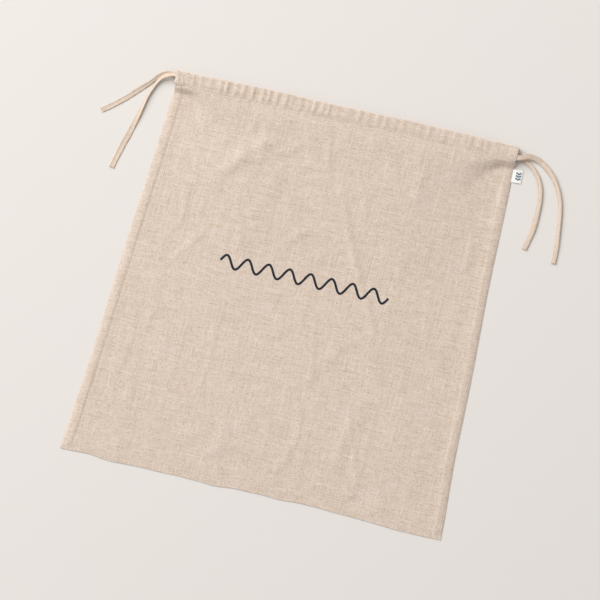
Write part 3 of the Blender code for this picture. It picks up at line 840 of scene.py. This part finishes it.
def settled_heights():
    """The front layer let fall on the back one by a cloth simulation: heights over shares of its
    width and length."""
    rows = np.linspace(BOTTOM, CASING_FOOT, DRAPE_ROWS)
    x = np.linspace(-1, 1, DRAPE_COLUMNS)[None] * half_width(rows)[:, None]
    y = np.broadcast_to(rows[:, None], x.shape)
    start = starting_height(x, y)
    faces = quads(np.arange(x.size).reshape(x.shape))
    mesh = bpy.data.meshes.new("settling_cloth")
    mesh.from_pydata(np.stack([x, y, start], axis=2).reshape(-1, 3).tolist(), [], faces.tolist())
    cloth = bpy.data.objects.new("settling_cloth", mesh)
    ground_mesh = bpy.data.meshes.new("settling_ground")
    ground_mesh.from_pydata(square(2 * HALF_BOTTOM, DRAPE_GROUND), [], [(0, 1, 2, 3)])
    ground = bpy.data.objects.new("settling_ground", ground_mesh)
    for item in (cloth, ground):
        bpy.context.scene.collection.objects.link(item)
    held = (from_side(x, y) < SEAM_REACH) | (y < BOTTOM + 6 * MM) | (y > CASING_FOOT - 8 * MM)
    group = cloth.vertex_groups.new(name="held")
    group.add(np.flatnonzero(held.ravel()).tolist(), 1.0, "REPLACE")
    ground.modifiers.new("collision", "COLLISION")
    ground.collision.thickness_outer = 1 * MM
    settings = cloth.modifiers.new("cloth", "CLOTH").settings
    for name, value in DRAPE_SETTINGS.items():
        setattr(settings, name, value)
    cloth.modifiers["cloth"].collision_settings.distance_min = 1 * MM
    scene = bpy.context.scene
    for step in range(1, DRAPE_FRAMES + 1):
        scene.frame_set(step)
    settled = cloth.evaluated_get(bpy.context.evaluated_depsgraph_get()).data
    points = np.zeros(x.size * 3)
    settled.vertices.foreach_get("co", points)
    scene.frame_set(1)
    for item, data in ((cloth, mesh), (ground, ground_mesh)):
        bpy.data.objects.remove(item)
        bpy.data.meshes.remove(data)
    heights = points.reshape(*x.shape, 3)[:, :, 2]
    for _ in range(2):
        inner = heights[1:-1, 1:-1] * 2
        inner = inner + heights[:-2, 1:-1] + heights[2:, 1:-1] + heights[1:-1, :-2] + heights[1:-1, 2:]
        heights[1:-1, 1:-1] = inner / 6
    return heights


def cubic_weights(share):
    """Weights of four neighbouring values, for a smooth curve through them."""
    return (
        ((2 - share) * share - 1) * share / 2,
        ((3 * share - 5) * share * share + 2) / 2,
        ((4 - 3 * share) * share + 1) * share / 2,
        (share - 1) * share * share / 2,
    )


def settled_height(x, y):
    """The settled height at any place, between the simulation's own points."""
    column = (x / half_width(y) + 1) / 2 * (DRAPE_COLUMNS - 1)
    row = (y - BOTTOM) / (CASING_FOOT - BOTTOM) * (DRAPE_ROWS - 1)
    left = np.clip(np.floor(column).astype(int), 1, DRAPE_COLUMNS - 3)
    low = np.clip(np.floor(row).astype(int), 1, DRAPE_ROWS - 3)
    total = np.zeros(np.shape(x))
    for b, row_weight in enumerate(cubic_weights(np.clip(row - low, -1, 2))):
        for a, column_weight in enumerate(cubic_weights(np.clip(column - left, -1, 2))):
            total += row_weight * column_weight * SETTLED[low + b - 1, left + a - 1]
    return total


def front_height(x, y):
    """Height of the front layer's middle surface: settled cloth, creases, seams and the casing's lift."""
    edge, below = from_side(x, y), CASING_FOOT - y
    free = smooth((edge - 16 * MM) / (24 * MM)) * smooth((y - BOTTOM - 4 * MM) / (20 * MM))
    fine = 1.15 * creased(x, y) + 0.11 * MM * waves(x, y, 0.03, 8, stretch=2.2)
    height = settled_height(x, y) + fine * free * smooth(below / (10 * MM))
    height = height + 0.5 * MM * gathered(x, y) * free * smooth(below / (4 * MM))
    height = np.maximum(height, 0.95 * MM)
    seam = seam_level(x, y)
    height = seam + (height - seam) * smooth((edge - 12 * MM) / (5 * MM)) + lift(x, y)
    foot = STITCH_Z - 0.1 * MM - 1.2 * MM * (1 - smooth(edge / (5 * MM)))
    ramp = RAMP_AT_SIDE + RAMP_GAIN * smooth((edge - 12 * MM) / (60 * MM))
    height = height + (foot - height) * smooth(1 - below / ramp) ** 1.3
    height = height - STITCH_DIP * hump(below, 0, STITCH_DIP_WIDTH)
    return height + 0.12 * MM * puckered(x, y) * smooth(below / (2 * MM))


def back_height(x, y):
    """Height of the back layer's middle surface, all but flat on the floor."""
    return BACK_Z + 0.12 * MM * waves(x, y, 0.1, 21) ** 2 * smooth(from_side(x, y) / 0.03)


def half_columns(y, sign):
    """Places along X across one half, in order along X, closer together near the side."""
    wide = half_width(y)
    inner = np.linspace(0, wide - EDGE_STEPS[-1], INNER_COLUMNS + 1)
    columns = np.concatenate([inner[:-1], (wide - EDGE_STEPS)[::-1]])
    return columns if sign > 0 else -columns[::-1]


def ply_columns(sign):
    """The same for a casing's plies, which stop under the hem."""
    x = half_columns(CASING_FOOT, sign)
    spare = half_width(CASING_FOOT) - CASING_PLY_END
    return x - np.sign(x) * spare * smooth((np.abs(x) - 0.19) / (half_width(CASING_FOOT) - 0.19))


def line_grid(x, rows):
    """A grid of points with these places along X in each row, from each row's Y and Z."""
    return np.array([np.stack(np.broadcast_arrays(x, y, z), axis=1) for y, z in rows])


def casing_rows(layer, x):
    """Points of one casing, from the foot of its lower ply up round its fold to the foot of its upper ply."""
    low, high, front = CASING_LOW[layer], CASING_HIGH[layer], layer == "front"
    ripple = CASING_RIPPLE * gathered(x, CASING_FOOT) * (1.0 if front else 0.3)
    ripple = ripple * smooth((0.211 - np.abs(x)) / 0.012) + 0.15 * MM * near_hem(x)
    flare = HEM_FLARE * smooth((np.abs(x) - 0.203) / 0.014)
    base = low - flare * front
    crown = high + ripple + flare * (not front)
    fold_y = TOP - 1.3 * MM
    upper_foot = STITCH_Z - 0.1 * MM if front else low + 0.5 * MM
    rows = []
    for share in np.linspace(0, 1, 12)[:-1]:
        y = CASING_FOOT + 0.3 * MM + share * (fold_y - CASING_FOOT)
        rise = smooth(share / 0.15)
        rows.append((y, low + (base - low) * rise))
    for angle in np.radians(np.linspace(-90, 90, 9)):
        middle, half = (base + crown) / 2, (crown - base) / 2
        rows.append((fold_y + 1.08 * MM * math.cos(angle), middle + half * math.sin(angle)))
    for share in np.concatenate([np.linspace(1, 0.14, 14)[1:], [0.1, 0.07, 0.045, 0.025, 0.01]]):
        y = CASING_FOOT + share * (fold_y - CASING_FOOT)
        rise = smooth(share / 0.5) ** 0.8
        fine = PUCKER_HEIGHT * puckered(x, np.full(x.shape, y)) * front
        dip = STITCH_DIP * hump(y, CASING_FOOT, STITCH_DIP_WIDTH) * front
        rows.append((y, upper_foot + (crown - upper_foot) * rise + fine * smooth(share / 0.1) - dip))
    return line_grid(x, rows)


def row_places():
    """Places along Y of the front layer's rows, closer together at the fold and at the casing."""
    low = BOTTOM + 0.7 * MM
    near = low + np.array([0, 0.5, 1.2, 2.2, 3.5, 5, 7, 9.5]) * MM
    high = CASING_FOOT - np.arange(0, 16) * 1.2 * MM - 0.3 * MM
    middle = np.linspace(near[-1], high[-1], round((high[-1] - near[-1]) / (2.6 * MM)) + 1)
    return np.concatenate([near, middle[1:-1], high[::-1]])


def body_grid(sign):
    """One half of the body cloth: front casing, front, bottom fold, back and back casing in one sheet."""
    plies = ply_columns(sign)
    rows = row_places()
    x = np.array([half_columns(y, sign) for y in rows])
    y = np.broadcast_to(rows[:, None], x.shape)
    front = np.stack([x, y, front_height(x, y)], axis=2)
    back = np.stack([x, y, back_height(x, y)], axis=2)
    radius = (FOLD_Z - BACK_Z) / 2
    fold = line_grid(half_columns(BOTTOM, sign), [
        (rows[0] + radius * math.cos(angle), radius + BACK_Z + radius * math.sin(angle))
        for angle in np.radians(np.linspace(90, 270, 9))[1:-1]
    ])
    casings = [casing_rows(layer, plies) for layer in ("front", "back")]
    grid = np.concatenate([casings[0], front[::-1], fold, back[::2], back[-1:], casings[1]])
    middle, beside = (0, 1) if sign > 0 else (-1, -2)
    grid[:, middle, 2] = grid[:, beside, 2]
    return grid


def gather_blend(piece):
    """Bakes the piece's placement into its points."""
    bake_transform(piece)


CLOTH_NODES = ["front_panel", "back_panel", "bottom_fold"] + [
    f"{layer}_casing_{ply}_ply" for layer in ("front", "back") for ply in ("outer", "turned")
]


def body_cloth(material):
    """The body cloth in two halves, which meet along the middle."""
    halves = {end: body_grid(sign) for end, sign in SIDES.items()}
    shared = (halves["left"][:, -2] + halves["right"][:, 1]) / 2
    shared[:, 0] = 0
    halves["left"][:, -1] = shared
    halves["right"][:, 0] = shared
    lengths = distances(shared)
    pieces = {}
    for end, grid in halves.items():
        places = np.stack([grid[:, :, 0], np.broadcast_to(lengths[:, None], grid.shape[:2])], axis=2)
        piece = new_mesh(f"{end}_body_cloth", *cloth_solid(strayed(grid), places), material)
        settle(piece, CLOTH_NODES if end == "left" else ())
        pieces[end] = piece
    return pieces, float(lengths[-1])


# ---------------------------------------------------------------- seams, hems and stitching

def side_edge(end, material):
    """The side seam's edge, where the two layers are sewn and turned, and the allowance inside it."""
    sign = SIDES[end]
    rows = row_places()
    edge = half_width(rows)
    upper = front_height(edge - 1e-6, rows) - 0.1 * MM
    lower = np.full(len(rows), BACK_Z + 0.05 * MM)
    columns = []
    for share in np.linspace(0, 1, 7):
        bulge = 0.35 * MM * math.sin(math.pi * share) - 0.25 * MM
        columns.append(np.stack([sign * (edge + bulge), rows, upper + (lower - upper) * share], axis=1))
    wall = np.stack(columns if sign > 0 else columns[::-1], axis=1)
    inset = np.array([1.2, 4, 8, 11.2]) * MM
    x = sign * (edge[:, None] - inset[None, :])
    y = np.broadcast_to(rows[:, None], x.shape)
    level = (front_height(x, y) - 0.3 * MM + BACK_Z + 0.3 * MM) / 2
    allowance = np.stack([x, y, level], axis=2)[3:-12]
    if sign > 0:
        allowance = allowance[:, ::-1]
    parts = [
        cloth_solid(strayed(grid), grid[:, :, :2], thickness)
        for grid, thickness in ((wall, 0.35 * MM), (allowance, 0.7 * MM))
    ]
    piece = new_mesh(f"{end}_side_edge", *joined(parts), material)
    settle(piece, [f"{end}_side_seam"])


def stitch_row(points, length=2.1 * MM, pitch=3.1 * MM, radius=0.4 * MM, rise=0.22 * MM):
    """Stitches along a line of points: each dips into the cloth at both ends."""
    points = np.asarray(points)
    lengths = distances(points)
    stitches = []
    for start in np.arange(pitch / 2, lengths[-1] - length, pitch):
        shares = np.linspace(0, 1, 6)
        places = start + shares * length
        path = np.stack([np.interp(places, lengths, points[:, axis]) for axis in range(3)], axis=1)
        path[:, 2] += rise * np.sin(math.pi * shares) - 0.04 * MM
        stitches.append(tube(path, radius, squeeze=0.8))
    return joined(stitches)


def sewn_piece(name, mesh, material, replaced, body=None):
    """A row of stitches as a piece, which rides on a body or else has its placement baked into its points."""
    settle(new_mesh(name, *mesh, material, sharp=80), [replaced], body=body)


def casing_stitching(material):
    """The row of stitches along each casing's foot, in two halves."""
    for layer, level in (("front", STITCH_Z + 0.06 * MM), ("back", 0.95 * MM)):
        for end, sign in SIDES.items():
            x = np.linspace(0, sign * (CASING_END - 11.5 * MM), 200)
            line = strayed(np.stack(np.broadcast_arrays(x, CASING_FOOT, level), axis=1))
            sewn_piece(
                f"{end}_{layer}_casing_stitches", stitch_row(line), material,
                f"{layer}_casing_stitching",
            )


def seam_stitching(material):
    """The seam's own stitches, between the layers just inside each side edge."""
    for end, sign in SIDES.items():
        y = np.linspace(BOTTOM + 4 * MM, CASING_FOOT - 3 * MM, 200)
        x = sign * (half_width(y) - 0.8 * MM)
        line = strayed(np.stack(np.broadcast_arrays(x, y, 0.7 * MM), axis=1))
        sewn_piece(
            f"{end}_seam_stitches", stitch_row(line, radius=0.12 * MM, rise=0.02 * MM), material,
            f"{end}_seam_stitching",
        )


HEM_SECTIONS = {"front": (5.7 * MM, 9.8 * MM), "back": (0.22 * MM, 4.6 * MM)}
# Along a hem, from its inner edge to its end and back inside: place along X and inset, in millimetres
HEM_PROFILE = np.array([
    (212.6, 0.62), (213.2, 0.45), (214.4, 0.3), (216, 0.28), (218, 0.2), (220, 0.1), (222, 0.05),
    (223.6, 0.05), (224.5, 0.14), (224.85, 0.42), (224.7, 0.72), (223.6, 0.82), (221.5, 0.84), (219.6, 0.86),
])


def hem_ring(layer, sign, inset, x, columns=64):
    """Points round a hem at one place along X, in from its outer face by an inset."""
    low, high = HEM_SECTIONS[layer]
    closing = 1 - smooth((x - 0.210) / 0.014)
    if layer == "front":
        low = low + 1.4 * MM * closing
    else:
        high = high - 1.5 * MM * closing
    angles = np.linspace(0, math.tau, columns) - math.pi / 2
    if sign < 0:
        angles = angles[::-1]
    centre_y, reach_y = (TOP + CASING_FOOT) / 2 + 0.1 * MM, (TOP - CASING_FOOT) / 2 + 0.35 * MM - inset
    centre_z, reach_z = (low + high) / 2, (high - low) / 2 - inset
    pucker = 0.12 * MM * np.sin(angles * 7 + x / (37.5 * MM)) * (inset < 0.5 * MM)
    power_y, power_z = 2 / 4.5, 2 / 3.0
    y = centre_y + (reach_y + pucker) * np.sign(np.cos(angles)) * np.abs(np.cos(angles)) ** power_y
    z = centre_z + reach_z * np.sign(np.sin(angles)) * np.abs(np.sin(angles)) ** power_z
    if layer == "front":
        z = z - 0.8 * MM * (1 - smooth((y - CASING_FOOT) / (6 * MM))) * (z > centre_z)
    around = np.linspace(0, 46 * MM, columns)
    x = np.full(columns, sign * x)
    return np.stack([x + left_tuck(x, y), y, z], axis=1), around


def casing_hems(cloth, thread):
    """The turned ends of the casings: a band of doubled cloth with a row of stitches round its inner edge."""
    for end, sign in SIDES.items():
        for layer in HEM_SECTIONS:
            rings = [hem_ring(layer, sign, inset, x) for x, inset in HEM_PROFILE * MM]
            grid = np.array([ring for ring, _ in rings])
            along = distances(grid[:, 0])
            around = rings[0][1]
            places = np.stack(np.broadcast_arrays(along[:, None] + 0.5 * sign, around[None]), axis=2)
            piece = new_mesh(f"{end}_{layer}_hem_band", *cloth_solid(grid, places), cloth)
            settle(piece, [f"{end}_{layer}_hem"], body=f"{end}_casing_end")
            ring, _ = hem_ring(layer, sign, -0.05 * MM, 215.4 * MM, columns=400)
            level = ring[:, 2]
            top = ring[level > level.min() + 0.85 * np.ptp(level)]
            top = top[np.argsort(top[:, 1])]
            sewn_piece(
                f"{end}_{layer}_hem_stitches", stitch_row(top), thread,
                f"{end}_{layer}_hem_stitching", body=f"{end}_casing_end",
            )


def thread_end(material):
    """The brown end of thread left in a small knot on the mouth's edge, beside the left hem."""
    random = np.random.default_rng(77)
    centre = np.array([-209 * MM, TOP - 0.5 * MM, 9.2 * MM])
    loops = []
    for _ in range(7):
        start, reach = random.uniform(0, math.tau), random.uniform(0.5, 1.0) * MM
        angles = start + np.linspace(0, random.uniform(2.5, 4.5), 9)
        drift = np.linspace(0, random.uniform(-0.7, 0.7) * MM, 9)
        across = np.cos(angles) * reach * 1.2 + drift
        rise = 0.6 * reach * np.cos(angles * 1.3)
        loop = np.stack([across, 0.5 * reach * np.sin(angles), rise], axis=1)
        loops.append(tube(centre + loop, 0.16 * MM, sides=5))
    piece = new_mesh("left_hem_thread_end", *joined(loops), material)
    settle(piece, body="left_casing_end")


# ---------------------------------------------------------------- print and label

PRINT_LENGTH = 224 * MM
PRINT_HEIGHT = 19 * MM
PRINT_STROKE = 3 * MM
PRINT_WAVES = 8
LABEL_LENGTH = 11.5 * MM
LABEL_WIDTH = 16.8 * MM
LABEL_INSET = 0.3 * MM
LABEL_BEND = 0.2 * MM
LABEL_SWELL = 0.35 * MM
LABEL_CURL = 0.15 * MM


def front_print(material):
    """A plain printed wave that lies on the cloth."""
    low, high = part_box("front_print")
    middle_y = (low.y + high.y) / 2
    share = np.linspace(0, 1, 900)
    x = (share - 0.5) * (PRINT_LENGTH - PRINT_STROKE)
    y = (PRINT_HEIGHT - PRINT_STROKE) / 2 * np.sin(math.tau * PRINT_WAVES * share)
    along = unit(np.stack([np.gradient(x), np.gradient(y)], axis=1))
    across = np.stack([-along[:, 1], along[:, 0]], axis=1)
    offsets = np.linspace(0.5, -0.5, 7) * PRINT_STROKE
    grid_x = x[:, None] + across[:, :1] * offsets[None]
    grid_y = middle_y + y[:, None] + across[:, 1:] * offsets[None]
    height = front_height(grid_x, grid_y) + CLOTH / 2 + 0.12 * MM
    grid = np.stack([grid_x, grid_y, height], axis=2)
    piece = new_mesh("front_wave_print", *cloth_solid(strayed(grid), grid[:, :, :2], 0.05 * MM), material)
    settle(piece, ["front_print"], body="bag")


def side_label(ribbon, ink):
    """The folded ribbon in the right seam, with three small wave bars as its mark."""
    joint = next(j for j in frame["record"]["behaviour"]["joints"] if j["name"] == "label_flap")
    hinge = Vector(joint["pos_m"])
    axis = Vector(joint["axis"])
    out = Vector((-axis.y, axis.x, 0))
    turned = np.array([out, -axis, (0, 0, 1)])

    def on_bag(mesh):
        points, faces, coordinates = mesh
        return points @ turned + np.array(hinge), faces, coordinates

    def curl(along, across):
        """How far the ribbon's two cut edges curl up."""
        return LABEL_CURL * (across / (LABEL_WIDTH / 2)) ** 2 * smooth(along / (6 * MM))

    root, end = -1.2 * MM, LABEL_LENGTH - LABEL_INSET
    lower = [(LABEL_LENGTH * s - LABEL_INSET, -LABEL_BEND) for s in np.linspace(0, 1, 12)]
    turns = np.radians([-60, -30, 0, 30, 60])
    bend = [(end + LABEL_BEND * math.cos(a), LABEL_BEND * math.sin(a)) for a in turns]
    upper = [
        (LABEL_LENGTH * s - LABEL_INSET, LABEL_BEND + LABEL_SWELL * math.sin(math.pi * s))
        for s in np.linspace(1, 0, 16)
    ]
    profile = np.array([(root, -0.16 * MM), *lower, *bend, *upper, (root, 0.05 * MM)])
    widths = np.linspace(-LABEL_WIDTH / 2, LABEL_WIDTH / 2, 15)
    along, across = np.broadcast_arrays(profile[:, :1], widths[None])
    grid = np.stack([along, across, profile[:, 1:] + curl(along, across)], axis=2)
    places = np.stack(np.broadcast_arrays(widths[None], distances(profile)[:, None]), axis=2)
    piece = new_mesh(
        "side_label_ribbon", *on_bag(cloth_solid(grid[:, ::-1], places[:, ::-1], 0.2 * MM)), ribbon
    )
    settle(piece, ["side_label"], body="side_label")

    bars = []
    for middle in (-3.5, 0, 3.5):
        share = np.linspace(0, 1, 40)
        x = (3.2 + share * 6.9) * MM
        y = (middle + 0.75 * np.sin(math.tau * 1.5 * share)) * MM
        offsets = np.linspace(1.05, -1.05, 4) * MM
        grid_x, grid_y = np.broadcast_arrays(x[:, None], y[:, None] + offsets[None])
        level = np.interp(grid_x, *zip(*upper[::-1])) + curl(grid_x, grid_y)
        grid = np.stack([grid_x, grid_y, level + 0.16 * MM], axis=2)
        bars.append(cloth_solid(grid, grid[:, :, :2], 0.06 * MM))
    mark = new_mesh("label_wave_mark", *on_bag(joined(bars)), ink)
    settle(mark, ["label_mark"], body="side_label")


def square(half, z):
    """The corners of a level square about the middle of the bag."""
    return [(-half, -half, z), (half, -half, z), (half, half, z), (-half, half, z)]


def make_floor(material):
    corners = np.array(square(FLOOR_HALF, FLOOR_Z))
    floor = new_mesh("floor", corners, [(0, 1, 2, 3)], corners[:, :2], material)


make_camera()
make_light()
tapes = {"left": tape_material("left", 0.95), "right": tape_material("right", 0.7)}
for tail_name in TAIL_ROUTES:
    loose_end(tail_name, tapes[tail_name.split("_")[0]])
for string_end in SIDES:
    string_runs(string_end, tapes[string_end])
linen = linen_material()
sewing_thread = thread_material("thread", THREAD)
SETTLED = settled_heights()
cloths, cloth_length = body_cloth(linen)
for cloth_end, cloth_piece in cloths.items():
    side_edge(cloth_end, linen)
casing_stitching(sewing_thread)
seam_stitching(sewing_thread)
casing_hems(linen, sewing_thread)
thread_end(thread_material("brown_thread", THREAD_END))
front_print(ink_material("print_ink", PRINT_INK, (0.05, 0.05, 0.055)))
side_label(label_material(), ink_material("label_ink", MARK_INK, (0.16, 0.21, 0.28)))
make_floor(floor_material())
